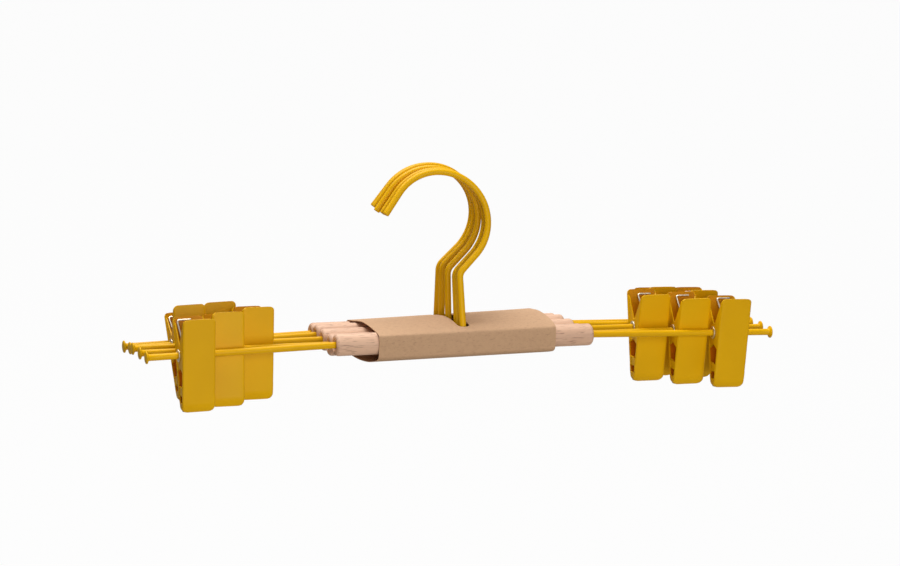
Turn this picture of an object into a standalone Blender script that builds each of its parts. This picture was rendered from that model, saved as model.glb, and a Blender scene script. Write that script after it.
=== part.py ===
"""Set of five clip hangers in a card sleeve, as separate solid pieces.

Frame: X along the hangers, Y from the front hanger to the rear one, Z up.
The origin is the seat inside the hook crowns, where a wardrobe rail would carry the set.
"""
import math
import bmesh
import bpy
from mathutils import Matrix, Vector

MM = 0.001

# Stack of hangers, millimetres, worked out in a frame at the middle of the front rod
PITCH = 14.2
HANGERS = "edcba"
DOWEL_Z = (0.0, -3.0, -2.8, -3.0, -5.2)
DOWEL_X = (-2.05, -2.6, -3.2, -3.9, -3.4)

# Rod that carries the clips: straight through the dowel, then falling a little to each end.
# The falls are in degrees, left and right; the shift is how far each rod sits off the middle.
ROD_D = 4.2
ROD_HALF = 210.0
ROD_SHIFT = (-0.2, -0.8, -1.8, 0.1, -0.2)
ROD_FALL = ((1.4, 1.6), (0.1, 0.1), (0.3, 0.4), (1.6, 1.6), (1.6, 1.3))
HEAD_D = 7.8
HEAD_CONE = 1.0
HEAD_RIM = 0.5
HEAD_DOME = 0.8

# Dowel crosspiece
DOWEL_D = 14.0
DOWEL_HALF = (86.0, 85.2, 85.0, 84.2, 83.6)
DOWEL_ROUND = 2.2
DOWEL_SINK = 2.0
ROD_PLAY = 0.3

# Hook: its stem is pressed into a hole in the top of the dowel
HOOK_D = 4.2
HOOK_HOLE_PLAY = 0.3
HOOK_FOOT_GAP = 0.6
STEM_H = 42.1
NECK_R = 8.0
LOOP_U = -10.78
LOOP_W = 75.83
LOOP_R = 31.52
LOOP_END = 143.5
TIP_RUN = 16.7

# Each hook in its dowel: place along X, lift, then degrees back, sideways and about the stem
HOOK_SET = (
    (-2.33, 0.2, 16.8, 0.0, -3.96),
    (-1.64, 0.75, 11.5, -0.3, -4.15),
    (-2.81, -0.2, 6.35, -0.8, -4.06),
    (-3.2, 0.0, 1.7, 0.0, -2.26),
    (-1.67, 0.0, 0.0, 0.7, -1.06),
)

# Clip: pressed jaws, hollow rivet and torsion spring
JAW_W = 21.0
BACK_W = 20.4
SHEET = 0.8
PLATE_Y0 = 10.1
PLATE_SLOPE = 0.18
CLIP_TOP = 22.9
CLIP_LOW = -35.6
EAR_R = 5.4
BACK_EAR_OUT = 9.45
RIM = 1.6
CORNER_TOP = 3.0
CORNER_LOW = 3.2
GRIP_GAP = 0.3
TUBE_WALL = 0.55
TUBE_PLAY = 0.25
EAR_PLAY = 0.25
RIVET_LIP = 0.7
RIVET_D = 8.0
COIL_WIRE = 1.3
COIL_R = 4.0
COIL_TURNS = 3.5
COIL_PITCH = 1.85
ARM_RISE = 19.8
ARM_TURN = 9.0

# Each clip: name, hanger, its distance from the rod's end, lean in degrees, place of the coil
CLIPS = (
    ("l1", "e", 31.8, 7.8, -2.2),
    ("l2", "d", 54.4, 14.6, -2.2),
    ("l3", "c", 77.5, 11.0, -2.2),
    ("l4", "b", 38.5, 22.0, -2.2),
    ("l5", "a", 62.0, 19.5, -2.2),
    ("r1", "e", 30.8, 6.9, 4.3),
    ("r2", "d", 53.1, 2.5, 3.4),
    ("r3", "c", 75.4, 3.7, 4.3),
    ("r4", "b", 36.2, 7.5, 4.0),
    ("r5", "a", 58.4, 12.7, 3.4),
)

# Card sleeve
CARD_T = 0.5
CARD_GAP = 0.35
CARD_HALF = 59.0
CARD_X = -2.1
CARD_TILT = 0.8
CARD_RISE = 2.4
SLOT_W = 7.6
SLOT_FRONT = -1.2
SLOT_BACK = 61.0

# Inside of the hook crowns, where the rail carries them
SEAT = Vector((-13.0, 45.9, 100.0))


def clear_scene():
    for ob in list(bpy.data.objects):
        bpy.data.objects.remove(ob)


def new_collection(name):
    col = bpy.data.collections.new(name)
    bpy.context.scene.collection.children.link(col)
    return col


def material(name, rgb, rough, metal):
    mat = bpy.data.materials.new(name)
    mat.use_nodes = True
    node = mat.node_tree.nodes["Principled BSDF"]
    node.inputs["Base Color"].default_value = (rgb[0], rgb[1], rgb[2], 1.0)
    node.inputs["Roughness"].default_value = rough
    node.inputs["Metallic"].default_value = metal
    return mat


def scaled_mesh(name, verts, faces):
    mesh = bpy.data.meshes.new(name)
    mesh.from_pydata([tuple(c * MM for c in v) for v in verts], [], faces)
    mesh.update()
    return mesh


def put(col, name, mesh, mat, matrix):
    ob = bpy.data.objects.new(name, mesh)
    mesh.materials.clear()
    mesh.materials.append(mat)
    place = Matrix.Translation(-SEAT) @ matrix
    place.translation = place.translation * MM
    ob.matrix_world = place
    col.objects.link(ob)
    smooth(ob)
    return ob


def smooth(ob):
    if ob.type != "MESH":
        return
    ob.data.shade_smooth()
    ob.data.set_sharp_from_angle(angle=math.radians(35))


def solid_from(ob):
    """Evaluated mesh of an object, welded and closed, with the object taken away."""
    bpy.context.view_layer.update()
    deps = bpy.context.evaluated_depsgraph_get()
    mesh = bpy.data.meshes.new_from_object(ob.evaluated_get(deps))
    name = ob.name
    bpy.data.objects.remove(ob)
    bm = bmesh.new()
    bm.from_mesh(mesh)
    bmesh.ops.remove_doubles(bm, verts=bm.verts, dist=1e-6)
    bmesh.ops.recalc_face_normals(bm, faces=bm.faces)
    bm.to_mesh(mesh)
    bm.free()
    mesh.name = name
    return mesh


def prism(name, outline, axis, half, work):
    """Solid from a flat outline in millimetres, pushed out both ways along an axis."""
    n = len(outline)
    verts = []
    for side in (-half, half):
        for a, b in outline:
            verts.append((side, a, b) if axis == "X" else (a, side, b))
    faces = [tuple(range(n)), tuple(range(2 * n - 1, n - 1, -1))]
    for i in range(n):
        j = (i + 1) % n
        faces.append((i, i + n, j + n, j))
    mesh = scaled_mesh(name, verts, faces)
    bm = bmesh.new()
    bm.from_mesh(mesh)
    bmesh.ops.recalc_face_normals(bm, faces=bm.faces)
    bm.to_mesh(mesh)
    bm.free()
    ob = bpy.data.objects.new(name, mesh)
    work.objects.link(ob)
    return ob


def cylinder(name, radius, half, axis, steps, work):
    ring = []
    for i in range(steps):
        t = 2 * math.pi * (i + 0.5) / steps
        ring.append((radius * math.cos(t), radius * math.sin(t)))
    return prism(name, ring, axis, half, work)


def cut(ob, tool, operation):
    mod = ob.modifiers.new("cut", "BOOLEAN")
    mod.operation = operation
    mod.solver = "EXACT"
    mod.object = tool
    tool.hide_render = True
    tool.display_type = "WIRE"


def wire(name, points, radius, work, resolution=2, factors=None):
    """Round wire through points in millimetres, with filled ends."""
    curve = bpy.data.curves.new(name, "CURVE")
    curve.dimensions = "3D"
    curve.twist_mode = "MINIMUM"
    spline = curve.splines.new("POLY")
    spline.points.add(len(points) - 1)
    for i, p in enumerate(points):
        spline.points[i].co = (p[0] * MM, p[1] * MM, p[2] * MM, 1.0)
        if factors is not None:
            spline.points[i].radius = factors[i]
    curve.bevel_depth = radius * MM
    curve.bevel_resolution = resolution
    curve.use_fill_caps = True
    ob = bpy.data.objects.new(name, curve)
    work.objects.link(ob)
    return solid_from(ob)


def turned(name, profile, steps, work):
    """Body turned about X from a closed profile of (x, radius) pairs."""
    n = len(profile)
    edges = [(i, (i + 1) % n) for i in range(n)]
    mesh = bpy.data.meshes.new(name)
    mesh.from_pydata([(x * MM, 0.0, r * MM) for x, r in profile], edges, [])
    ob = bpy.data.objects.new(name, mesh)
    work.objects.link(ob)
    mod = ob.modifiers.new("turn", "SCREW")
    mod.axis = "X"
    mod.angle = 2 * math.pi
    mod.steps = steps
    mod.render_steps = steps
    mod.use_merge_vertices = True
    mod.merge_threshold = 0.00001
    mod.use_normal_calculate = True
    return solid_from(ob)


def rod_mouths(index):
    """Where a rod comes out of its dowel, left and right."""
    return DOWEL_X[index] - DOWEL_HALF[index], DOWEL_X[index] + DOWEL_HALF[index]


def rod_drop(index, x):
    """How far below its dowel's axis a rod is at x."""
    left, right = rod_mouths(index)
    fall_left, fall_right = ROD_FALL[index]
    if x < 0:
        return max(left - x, 0.0) * math.tan(math.radians(fall_left))
    return max(x - right, 0.0) * math.tan(math.radians(fall_right))


def rod_mesh(index, work):
    """Rod with a coned and domed head pressed on each end."""
    shift = ROD_SHIFT[index]
    left, right = rod_mouths(index)
    r = ROD_D / 2
    head = HEAD_D / 2
    length = HEAD_CONE + HEAD_RIM + HEAD_DOME
    ends = []
    for back, rad in (
        (0.0, 0.34 * head),
        (0.27 * HEAD_DOME, 0.68 * head),
        (HEAD_DOME, head),
        (HEAD_DOME + HEAD_RIM, head),
        (length, r),
    ):
        ends.append((back, rad / r))
    stations = []
    for back, f in ends:
        stations.append((shift - ROD_HALF + back, f))
    stations.append((left - 0.01, 1.0))
    stations.append((right + 0.01, 1.0))
    for back, f in reversed(ends):
        stations.append((shift + ROD_HALF - back, f))
    points = [(x, 0.0, -rod_drop(index, x)) for x, f in stations]
    return wire("rod", points, r, work, 2, [f for x, f in stations])


def dowel_mesh(index, work):
    """Turned wooden crosspiece with a bore for the rod and a hole for the hook stem."""
    outer = DOWEL_D / 2
    bore = ROD_D / 2 + ROD_PLAY
    k = DOWEL_ROUND
    half = DOWEL_HALF[index]
    side = [
        (half - DOWEL_SINK, bore),
        (half, bore + DOWEL_SINK),
        (half, outer - k),
        (half - 0.29 * k, outer - 0.29 * k),
        (half - k, outer),
    ]
    profile = side + [(-x, r) for x, r in reversed(side)]
    mesh = turned("dowel_blank", profile, 20, work)
    ob = bpy.data.objects.new("dowel_blank", mesh)
    work.objects.link(ob)
    depth = DOWEL_D
    tool = cylinder("stem_hole", HOOK_D / 2 + HOOK_HOLE_PLAY, depth / 2, "X", 14, work)
    tool.matrix_world = (
        Matrix.Translation(((HOOK_SET[index][0] - DOWEL_X[index]) * MM, 0.0, 0.0))
        @ hook_turn(index)
        @ Matrix.Translation((0.0, 0.0, depth / 2 * MM))
        @ Matrix.Rotation(math.radians(90), 4, "Y")
    )
    cut(ob, tool, "DIFFERENCE")
    return solid_from(ob)


def hook_turn(index):
    """How a hook stands in its dowel: turned about its stem, tilted sideways, leaning back."""
    x, lift, lean, tilt, twist = HOOK_SET[index]
    return (
        Matrix.Rotation(-math.radians(lean), 4, "X")
        @ Matrix.Rotation(math.radians(tilt), 4, "Y")
        @ Matrix.Rotation(math.radians(twist), 4, "Z")
    )


def hook_points():
    """Centre line of the hook in its own plane: stem, bent neck, loop and straight tip."""
    foot = ROD_D / 2 + HOOK_FOOT_GAP
    centre = Vector((LOOP_U, LOOP_W))
    bend = Vector((0.0, STEM_H))
    gap = centre - bend
    lean = math.atan2(gap.y, gap.x) - math.asin(min(LOOP_R / gap.length, 1.0))
    start = math.degrees(lean) - 90.0
    first = centre + LOOP_R * Vector((math.cos(math.radians(start)), math.sin(math.radians(start))))
    along = (first - bend).normalized()
    turn = math.acos(along.y)
    back = NECK_R * math.tan(turn / 2)
    pts = [Vector((0.0, foot)), Vector((0.0, bend.y - back))]
    corner = Vector((NECK_R, bend.y - back))
    for i in range(1, 5):
        a = turn * i / 4
        pts.append(corner + NECK_R * Vector((-math.cos(a), math.sin(a))))
    count = 18
    for i in range(count + 1):
        a = math.radians(start + (LOOP_END - start) * i / count)
        pts.append(centre + LOOP_R * Vector((math.cos(a), math.sin(a))))
    a = math.radians(LOOP_END)
    run = Vector((-math.sin(a), math.cos(a)))
    end = pts[-1]
    pts.append(end + run * (TIP_RUN - 1.2))
    pts.append(end + run * (TIP_RUN - 0.4))
    pts.append(end + run * TIP_RUN)
    factors = [1.0] * (len(pts) - 2) + [0.86, 0.5]
    return pts, factors


def hook_mesh(work):
    pts, factors = hook_points()
    return wire("hook", [(p.x, 0.0, p.y) for p in pts], HOOK_D / 2, work, 2, factors)


def plate_y(z):
    """Outer face of a jaw plate, as a distance from the mid plane, tip curving in."""
    y = PLATE_Y0 + PLATE_SLOPE * z
    knee = CLIP_LOW + 5.5
    if z < knee:
        y -= 0.075 * (knee - z) ** 2
    return y


def side_outline():
    """Side of the front jaw as (y, z): outer plate face down, free edge of the flange up."""
    outer = [CLIP_TOP, CLIP_LOW + 5.5, CLIP_LOW + 3.5, CLIP_LOW + 1.6, CLIP_LOW]
    pts = [(-plate_y(z), z) for z in outer]
    mid = -GRIP_GAP / 2
    pts.append((mid, CLIP_LOW + 0.3))
    pts.append((mid, -29.8))
    pts.append((-(plate_y(-29.6) - SHEET - 0.6), -29.6))
    pts.append((-(plate_y(-25.2) - SHEET - 0.6), -25.2))
    pts.append((mid, -24.8))
    pts.append((mid, -20.4))
    pts.append((-(plate_y(-20.0) - SHEET - RIM / 2), -20.0))
    pts.append((-(plate_y(-10.2) - SHEET - RIM / 2), -10.2))
    pts.append((mid, -7.1))
    for i in range(9):
        a = math.radians(-62 + i * 21.5)
        pts.append((EAR_R * math.cos(a), EAR_R * math.sin(a)))
    pts.append((-(plate_y(21.5) - SHEET - 0.3), 21.5))
    pts.append((-(plate_y(CLIP_TOP) - SHEET - 0.2), CLIP_TOP))
    return pts


def cavity_outline():
    """Hollow of a jaw behind its plate, stopping above the grip pad at the tip."""
    low = -30.2
    zs = (CLIP_TOP + 2.0, 0.0, low)
    pts = [(-(plate_y(z) - SHEET), z) for z in zs]
    pts.append((12.0, low))
    pts.append((12.0, CLIP_TOP + 2.0))
    return pts


def front_outline(width):
    """Face of a jaw plate as (x, z) with rounded corners."""
    half = width / 2
    pts = []
    for cx, cz, r, a0 in (
        (half, CLIP_TOP, CORNER_TOP, 0),
        (-half, CLIP_TOP, CORNER_TOP, 90),
        (-half, CLIP_LOW, CORNER_LOW, 180),
        (half, CLIP_LOW, CORNER_LOW, 270),
    ):
        mx = cx - math.copysign(r, cx)
        mz = cz - math.copysign(r, cz)
        for i in range(4):
            a = math.radians(a0 + 30 * i)
            pts.append((mx + r * math.cos(a), mz + r * math.sin(a)))
    return pts


def jaw_mesh(name, width, inner, ears, work):
    """Pressed jaw: side outline met with face outline, hollowed, then bored for the rivet."""
    body = prism(name, side_outline(), "X", width / 2, work)
    cut(body, prism("face", front_outline(width), "Y", 2 * JAW_W, work), "INTERSECT")
    cut(body, prism("hollow", cavity_outline(), "X", inner, work), "DIFFERENCE")
    if ears < width / 2:
        for side in (-1, 1):
            mid = side * (ears + 2.0)
            zs = (CLIP_TOP + 1.0, 0.0, -29.3)
            slab = [(-(plate_y(z) - RIM), z) for z in zs] + [(12.0, -29.3), (12.0, CLIP_TOP + 1.0)]
            tool = prism("joggle", slab, "X", 2.0, work)
            tool.location.x = mid * MM
            cut(body, tool, "DIFFERENCE")
    bore = ROD_D / 2 + TUBE_PLAY + TUBE_WALL + EAR_PLAY
    cut(body, cylinder("pin_hole", bore, 20.0, "X", 16, work), "DIFFERENCE")
    return solid_from(body)


def rivet_mesh(work):
    """Hollow rivet turned over outside the ears."""
    inner = ROD_D / 2 + TUBE_PLAY
    outer = inner + TUBE_WALL
    lip = RIVET_D / 2
    near = JAW_W / 2 + EAR_PLAY
    far = near + RIVET_LIP
    half = [(far, inner), (far, lip - 0.3), (far - 0.3, lip), (near, lip), (near, outer)]
    profile = half + [(-x, r) for x, r in reversed(half)]
    return turned("rivet", profile, 16, work)


def spring_points(coil_x):
    """Torsion spring: coil round the rivet, an arm up each handle with a bent end."""
    half = COIL_TURNS * COIL_PITCH / 2
    steps = int(COIL_TURNS * 8)
    coil = []
    for i in range(steps + 1):
        t = i / steps
        a = -2 * math.pi * COIL_TURNS * t
        x = coil_x - half + 2 * half * t
        coil.append(Vector((x, COIL_R * math.cos(a), COIL_R * math.sin(a))))
    inset = SHEET + COIL_WIRE / 2 + 0.35
    first = coil[0]
    top = ARM_RISE
    wall = plate_y(top) - inset
    lean = 0.2 * top
    limit = BACK_EAR_OUT - SHEET - COIL_WIRE / 2 - 0.4
    left_end = max(first.x - lean, -limit)
    left = [
        Vector((left_end + ARM_TURN, wall, top)),
        Vector((left_end + 1.6, wall, top)),
        Vector((left_end + 0.5, wall, top - 0.4)),
        Vector((left_end, wall - 0.2, top - 1.6)),
    ]
    last = coil[-1]
    right_end = min(last.x + lean, limit)
    right = [
        Vector((right_end, -(wall - 0.2), top - 1.6)),
        Vector((right_end - 0.5, -wall, top - 0.4)),
        Vector((right_end - 1.6, -wall, top)),
        Vector((right_end - ARM_TURN, -wall, top)),
    ]
    return left + coil + right


def least_gap(points, radius):
    """Least clear distance between stretches of the wire that are not neighbours."""
    best = 1e9
    n = len(points)
    for i in range(n - 1):
        for j in range(i + 6, n - 1):
            for s in range(4):
                p = points[i].lerp(points[i + 1], s / 4)
                a = points[j]
                d = points[j + 1] - a
                t = max(0.0, min(1.0, (p - a).dot(d) / max(d.length_squared, 1e-9)))
                best = min(best, (p - a - d * t).length - 2 * radius)
    return best


def spring_mesh(coil_x, work):
    pts = spring_points(coil_x)
    print("spring turns %.1f, points %d, least gap %.2f mm"
          % (COIL_TURNS, len(pts), least_gap(pts, COIL_WIRE / 2)))
    return wire("spring", pts, COIL_WIRE / 2, work, 1)


def sleeve_section(lift):
    """Closed loop of the card round the dowels as (y, z), from the front top edge round.

    The card lies on the front dowel and sags behind it; lift raises it towards the right end.
    """
    out = DOWEL_D / 2 + CARD_GAP + CARD_T / 2
    front = -out - 0.2
    last = 4 * PITCH
    return [
        (front, 5.4 + 0.4 * lift),
        (front + 1.3, 6.8 + 0.4 * lift),
        (SLOT_FRONT, out + 0.1 + 0.6 * lift),
        (0.9 * PITCH, out + 0.8 + lift),
        (1.9 * PITCH, out + 0.6 + lift),
        (2.4 * PITCH, out - 0.5 + lift),
        (3 * PITCH, 5.6 + 1.15 * lift),
        (3.5 * PITCH, 4.0 + lift),
        (last + 2.0, 2.7 + 0.7 * lift),
        (SLOT_BACK, 1.6 + 0.6 * lift),
        (last + 6.8, -0.4 + 0.5 * lift),
        (last + out + 0.4, -3.6 + 0.3 * lift),
        (last + out + 0.5, -11.4 + 0.2 * lift),
        (last + 5.2, -17.4 + 0.2 * lift),
        (last - 6.0, -18.6 + 0.2 * lift),
        (2.3 * PITCH, -17.6 + 0.4 * lift),
        (PITCH, -15.0 + 0.5 * lift),
        (3.0, -12.2 + 0.5 * lift),
        (-4.2, -10.0 + 0.4 * lift),
        (front + 0.8, -8.2 + 0.4 * lift),
        (front, -6.6 + 0.5 * lift),
    ]


def sleeve_mesh(work):
    """Card band as one sheet with the hook slot cut out, given its thickness."""
    low = sleeve_section(0.0)
    high = sleeve_section(CARD_RISE)
    tilt = math.tan(math.radians(CARD_TILT))
    slot_rows = []
    parts = (-1.0, -0.64, -0.34)
    xs = [CARD_HALF * f for f in parts] + [-SLOT_W / 2, SLOT_W / 2]
    xs += [-CARD_HALF * f for f in reversed(parts)]
    verts = []
    n = len(low)
    for col, x in enumerate(xs):
        t = (x + CARD_HALF) / (2 * CARD_HALF)
        for i in range(n):
            y = low[i][0] + (high[i][0] - low[i][0]) * t
            z = low[i][1] + (high[i][1] - low[i][1]) * t
            rise = 1.0 if 1 < i < 12 else 0.55
            verts.append((x + CARD_X, y, z + rise * tilt * (x * 0.5 + CARD_HALF * 0.12)))
    for i in range(n):
        if SLOT_FRONT - 0.1 <= low[i][0] <= SLOT_BACK + 0.1 and 2 <= i <= 9:
            slot_rows.append(i)
    faces = []
    for c in range(len(xs) - 1):
        for i in range(n):
            j = (i + 1) % n
            if c == 3 and i in slot_rows and j in slot_rows:
                continue
            faces.append((c * n + i, (c + 1) * n + i, (c + 1) * n + j, c * n + j))
    mesh = scaled_mesh("sleeve_sheet", verts, faces)
    bm = bmesh.new()
    bm.from_mesh(mesh)
    bmesh.ops.recalc_face_normals(bm, faces=bm.faces)
    bm.to_mesh(mesh)
    bm.free()
    ob = bpy.data.objects.new("sleeve_sheet", mesh)
    work.objects.link(ob)
    mod = ob.modifiers.new("card", "SOLIDIFY")
    mod.thickness = CARD_T * MM
    mod.offset = 0.0
    mod.use_even_offset = True
    return solid_from(ob)


def rod_frame(index, x):
    """Place on a rod's axis, turned to follow its fall."""
    at = Vector((x, index * PITCH, DOWEL_Z[index] - rod_drop(index, x)))
    turn = ROD_FALL[index][1] if x > 0 else -ROD_FALL[index][0]
    return Matrix.Translation(at) @ Matrix.Rotation(math.radians(turn), 4, "Y")


def main():
    clear_scene()
    work = new_collection("cutters")
    col = new_collection("clip_hanger_set")
    yellow = material("yellow_coat", (0.62, 0.36, 0.01), 0.45, 0.0)
    beech = material("beech", (0.72, 0.52, 0.35), 0.6, 0.0)
    nickel = material("nickel", (0.8, 0.78, 0.74), 0.25, 1.0)
    card = material("kraft_card", (0.64, 0.44, 0.28), 0.8, 0.0)

    hook = hook_mesh(work)
    for k, letter in enumerate(HANGERS):
        base = Matrix.Translation((0.0, k * PITCH, DOWEL_Z[k]))
        cross = base @ Matrix.Translation((DOWEL_X[k], 0.0, 0.0))
        stem = base @ Matrix.Translation((HOOK_SET[k][0], 0.0, HOOK_SET[k][1]))
        put(col, "dowel_" + letter, dowel_mesh(k, work), beech, cross)
        put(col, "rod_" + letter, rod_mesh(k, work), yellow, base)
        put(col, "hook_" + letter, hook, yellow, stem @ hook_turn(k))

    front = jaw_mesh("front_jaw", JAW_W, JAW_W / 2 - SHEET, JAW_W, work)
    back = jaw_mesh("back_jaw", BACK_W, BACK_EAR_OUT - SHEET + 0.1, BACK_EAR_OUT, work)
    rivet = rivet_mesh(work)
    half_turn = Matrix.Rotation(math.pi, 4, "Z")
    for name, letter, inset, lean, coil_x in CLIPS:
        side = 1.0 if name.startswith("r") else -1.0
        spot = rod_frame(HANGERS.index(letter), side * (ROD_HALF - inset))
        swing = spot @ Matrix.Rotation(-math.radians(lean), 4, "X")
        put(col, "rivet_" + name, rivet, nickel, spot)
        put(col, "jaw_back_" + name, back, yellow, swing @ half_turn)
        put(col, "jaw_front_" + name, front, yellow, swing)
        put(col, "spring_" + name, spring_mesh(coil_x, work), nickel, swing)

    put(col, "sleeve", sleeve_mesh(work), card, Matrix.Identity(4))
    for ob in list(work.objects):
        bpy.data.objects.remove(ob)
    bpy.data.collections.remove(work)


main()
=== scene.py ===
"""Looks of a set of clip hangers held together by a card sleeve.

Five coated wire hooks stand in turned beech crosspieces. A coated rod runs through each
crosspiece and carries two sprung clips. A folded kraft card sleeve holds the five together.
"""
import math

import bmesh
import bpy
import numpy as np
from bpy.props import FloatProperty, FloatVectorProperty, IntProperty, PointerProperty
from mathutils import Matrix, Vector


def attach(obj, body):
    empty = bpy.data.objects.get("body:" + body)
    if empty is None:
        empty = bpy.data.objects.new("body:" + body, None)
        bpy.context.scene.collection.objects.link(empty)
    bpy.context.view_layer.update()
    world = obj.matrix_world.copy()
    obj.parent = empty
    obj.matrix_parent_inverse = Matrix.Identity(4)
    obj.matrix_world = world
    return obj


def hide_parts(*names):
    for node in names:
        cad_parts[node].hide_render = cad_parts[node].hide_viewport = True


bl_info = {
    "name": "Clip hanger set",
    "version": (1, 0, 0),
    "blender": (4, 5, 0),
    "location": "3D View > Sidebar > Hangers",
    "description": "Makes the pieces and finishes of a set of sprung clip hangers in a card sleeve",
    "category": "Add Mesh",
}

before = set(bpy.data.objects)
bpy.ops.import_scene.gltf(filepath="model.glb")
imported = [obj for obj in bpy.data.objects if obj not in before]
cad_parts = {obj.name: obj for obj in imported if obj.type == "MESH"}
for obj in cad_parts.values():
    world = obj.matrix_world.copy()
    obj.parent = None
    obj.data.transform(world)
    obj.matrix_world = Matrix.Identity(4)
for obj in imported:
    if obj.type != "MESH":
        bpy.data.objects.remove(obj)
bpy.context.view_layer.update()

# Millimetres, in a frame at the middle of the front rod; the rail seat is the model's origin
SEAT = np.array([-13.0, 45.9, 100.0])
PITCH = 14.2
HANGERS = "edcba"
# Crosspieces, front to back: middle along X, height and half the length
DOWEL_X = (-2.05, -2.6, -3.2, -3.9, -3.4)
DOWEL_Z = (0.0, -3.0, -2.8, -3.0, -5.2)
DOWEL_HALF = (86.0, 85.2, 85.0, 84.2, 83.6)
# Rods: half the length, shift along X, and fall in degrees to the left and to the right
ROD_HALF = 210.0
ROD_SHIFT = (-0.2, -0.8, -1.8, 0.1, -0.2)
ROD_FALL = ((1.4, 1.6), (0.1, 0.1), (0.3, 0.4), (1.6, 1.6), (1.6, 1.3))
# Each hook in its crosspiece: place along X, lift, degrees back, sideways and about the stem
HOOK_SET = (
    (-2.33, 0.2, 16.8, 0.0, -3.96),
    (-1.64, 0.75, 11.5, -0.3, -4.15),
    (-2.81, -0.2, 6.35, -0.8, -4.06),
    (-3.2, 0.0, 1.7, 0.0, -2.26),
    (-1.67, 0.0, 0.0, 0.7, -1.06),
)
HOLDER = "hangers_and_sleeve"

# Side of a jaw: top and tip of the plate, its distance out at the rod and its slope
CLIP_TOP = 22.9
CLIP_LOW = -35.6
PLATE_Y0 = 10.1
PLATE_SLOPE = 0.18
# Height over which the plate's tip curves in, and how much per square of the height
TIP_RUN = 5.5
TIP_CURVE = 0.075
CORNER_TOP = 3.0
CORNER_LOW = 3.2
BEND_R = 1.25
EAR_R = 5.4
# How far the inner jaw's flanges step inwards
JAW_STEP = 0.75
# A flange's heights from the tip up: a notch, a web, a window under a peaked roof, a taper
NOTCH = (-29.85, -29.6, -25.2, -24.85)
WINDOW = (-20.4, -20.05, -10.2, -7.1)
TAPER_TOP = 21.5
# Distance of a full flange from the clip's mid plane
MID_GAP = 0.15
# Wall of a rivet, its play on the rod, and the play of the ears on it and of wire in a drilled hole
RIVET_WALL = 0.55
RIVET_PLAY = 0.25
EAR_PLAY = 0.25
DRILL_PLAY = 0.3
# Rounding left on the cut ends of the wires
HOOK_EASE = 0.6
SPRING_EASE = 0.3
# Points of a spring's arm before its coil, and of one turn of the coil
ARM_POINTS = 36
TURN_POINTS = 40
# Sleeve: its middle along the hangers, half its width, and its slot for the stems
SLEEVE_X = -2.1
SLEEVE_HALF = 59.0
SLEEVE_PLAY = 0.35
SLOT_HALF = 3.8
SLOT_FRONT = -1.2
SLOT_BACK = 61.0
# Edge angles in degrees above which shading is sharp
WIRE_SHARP = 40.0
JAW_SHARP = 38.0
CARD_SHARP = 35.0

# Camera of the fitted view: degrees to the side, up and rolled; millimetres; pixels
VIEW_ANGLES = (-19.067, 11.755, 1.873)
VIEW_TARGET = np.array([-12.791, 0.0, 37.106])
VIEW_DISTANCE = 2400.0
FOCAL_PIXELS = 3801.21
PHOTO_WIDTH = 900.0
SENSOR = 36.0

# Clip name: hanger, distance from the rod's end, lean away from the viewer, place of the coil
# along the rivet and height of the spring's feet
CLIPS = {
    "l1": ("e", 31.8, 7.8, -2.2, 20.9),
    "l2": ("d", 54.4, 14.6, -2.2, 18.4),
    "l3": ("c", 77.5, 11.0, -2.2, 18.4),
    "l4": ("b", 38.5, 22.0, -2.2, 19.8),
    "l5": ("a", 62.0, 19.5, -2.2, 19.8),
    "r1": ("e", 30.8, 6.9, 4.3, 21.2),
    "r2": ("d", 53.1, 2.5, 3.4, 20.6),
    "r3": ("c", 75.4, 3.7, 4.3, 19.8),
    "r4": ("b", 36.2, 7.5, 4.0, 19.8),
    "r5": ("a", 58.4, 12.7, 3.4, 19.8),
}


class HangerSizes(bpy.types.PropertyGroup):
    """Sizes of the wires, the crosspiece and the clips, in millimetres."""

    hook_wire: FloatProperty(name="Hook wire", description="Coated hook wire", default=4.2)
    loop_radius: FloatProperty(name="Loop", description="Radius of the hook loop", default=31.52)
    rod_wire: FloatProperty(name="Rod", description="Rod that carries the clips", default=4.2)
    head: FloatProperty(name="Rod head", description="Diameter of a rod's head", default=7.8)
    dowel: FloatProperty(name="Crosspiece", description="Diameter of the beech dowel", default=14.0)
    jaw_front: FloatProperty(name="Front jaw", description="Width of the outer jaw", default=21.0)
    jaw_back: FloatProperty(name="Back jaw", description="Width of the inner jaw", default=20.4)
    sheet: FloatProperty(name="Sheet", description="Coated sheet of the jaws", default=0.8)
    coil_wire: FloatProperty(name="Spring wire", description="Wire of the spring", default=1.3)
    coil_radius: FloatProperty(name="Coil", description="Mean radius of the coil", default=4.0)
    card: FloatProperty(name="Card", description="Thickness of the sleeve card", default=0.5)
    round_steps: IntProperty(name="Roundness", description="Sides of a wire", default=40, min=8)


def hex_linear(code):
    """Turns an sRGB hex colour into linear red, green, blue and alpha."""
    parts = [int(code[i:i + 2], 16) / 255.0 for i in (1, 3, 5)]
    linear = [c / 12.92 if c <= 0.04045 else ((c + 0.055) / 1.055) ** 2.4 for c in parts]
    return (*linear, 1.0)


class HangerColours(bpy.types.PropertyGroup):
    """Colours of the finishes."""

    coat: FloatVectorProperty(
        name="Powder coat", description="Yellow powder coat", subtype="COLOR", size=4,
        default=hex_linear("#E2AC03"))
    wood: FloatVectorProperty(
        name="Beech", description="Bare sanded beech", subtype="COLOR", size=4,
        default=hex_linear("#DAB193"))
    kraft: FloatVectorProperty(
        name="Kraft card", description="Uncoated brown card", subtype="COLOR", size=4,
        default=hex_linear("#C39C78"))
    nickel: FloatVectorProperty(
        name="Nickel", description="Bright nickel plate", subtype="COLOR", size=4,
        default=hex_linear("#D8CCB6"))
    grip: FloatVectorProperty(
        name="Grip", description="Soft clear grip pad", subtype="COLOR", size=4,
        default=hex_linear("#CDB79A"))


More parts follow.
